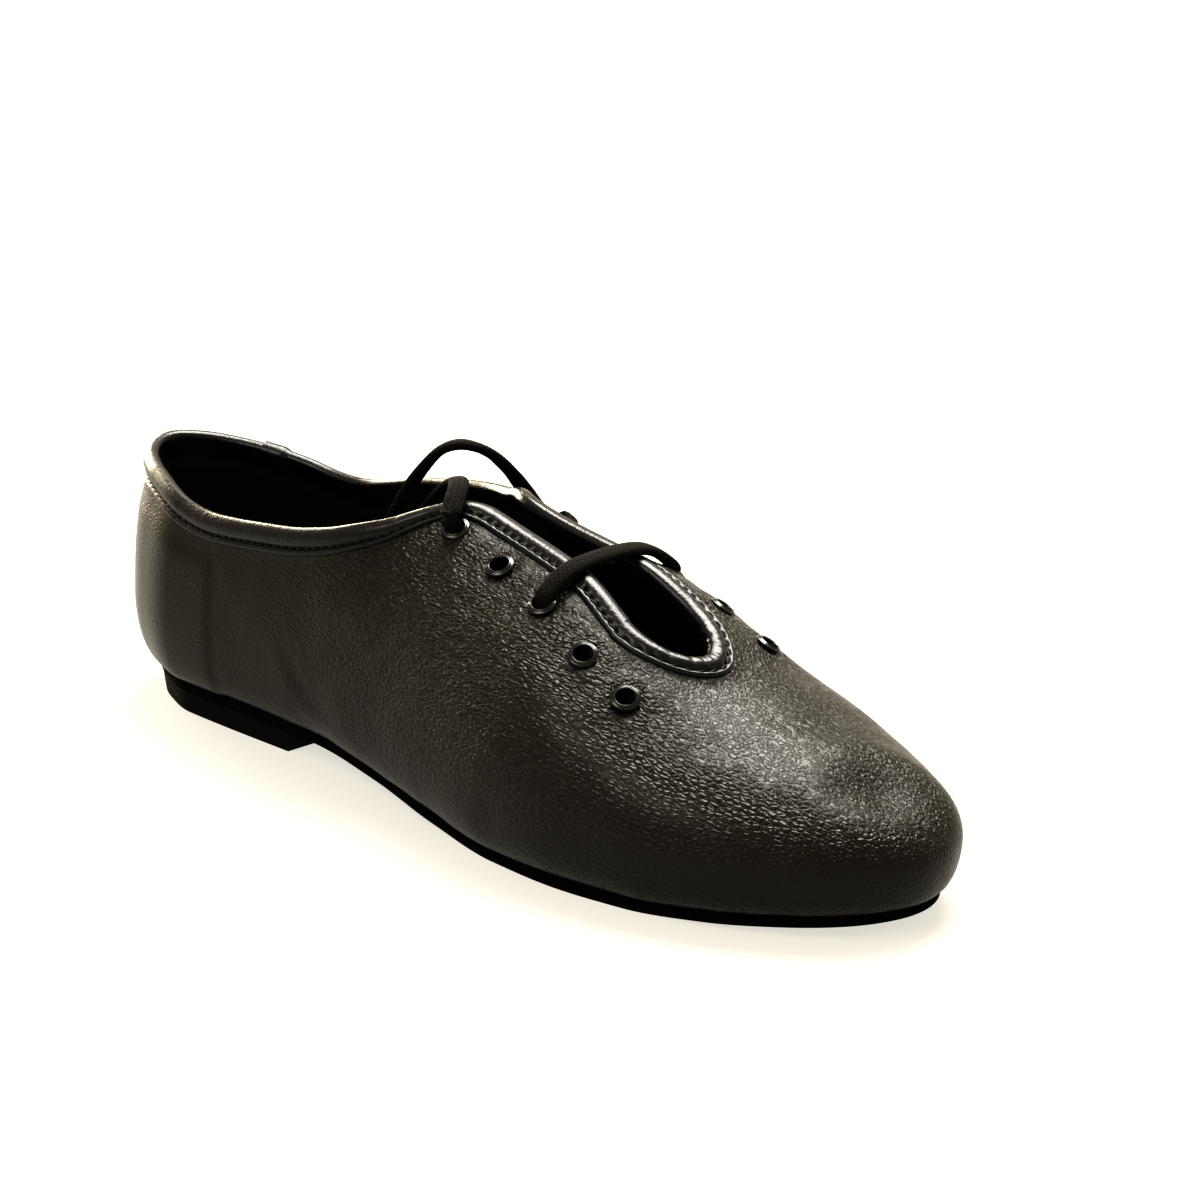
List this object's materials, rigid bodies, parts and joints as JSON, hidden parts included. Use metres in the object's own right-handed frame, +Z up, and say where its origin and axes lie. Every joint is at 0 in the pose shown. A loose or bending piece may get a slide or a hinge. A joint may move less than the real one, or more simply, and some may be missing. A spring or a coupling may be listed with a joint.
{
  "type": "jazz shoe",
  "caption": "Low-cut right jazz shoe with a split throat, punched eyelets, a folded topline binding, a thin full-length sole and a low heel.",
  "frame": {"origin": "on the floor, under the middle of the shoe's length and width", "axes": "+X towards the toe, -Y to the lateral side, +Y to the medial side, +Z up"},
  "size_m": [0.2652, 0.0912, 0.0834],
  "materials": {
    "black_leather": "semi-gloss pebble grain",
    "binding_leather": "smooth semi-gloss",
    "suede_sole": "matt suede",
    "rubber_heel": "matt",
    "insole_leather": "matt grain",
    "black_metal": "gloss black enamel",
    "lace_cotton": "braided"
  },
  "bodies": {
    "root": {"upper": "black_leather", "topline_binding": "binding_leather", "back_strip": "black_leather", "outsole": "suede_sole", "heel": "rubber_heel", "insole": "insole_leather", "eyelet_lateral_1": "black_metal", "eyelet_lateral_2": "black_metal", "eyelet_lateral_3": "black_metal", "eyelet_lateral_4": "black_metal", "eyelet_lateral_5": "black_metal", "eyelet_medial_1": "black_metal", "eyelet_medial_2": "black_metal", "eyelet_medial_3": "black_metal", "eyelet_medial_4": "black_metal", "eyelet_medial_5": "black_metal", "lace_bar": "lace_cotton", "lace_end_lateral": "lace_cotton", "lace_end_medial": "lace_cotton"}
  },
  "joints": []
}
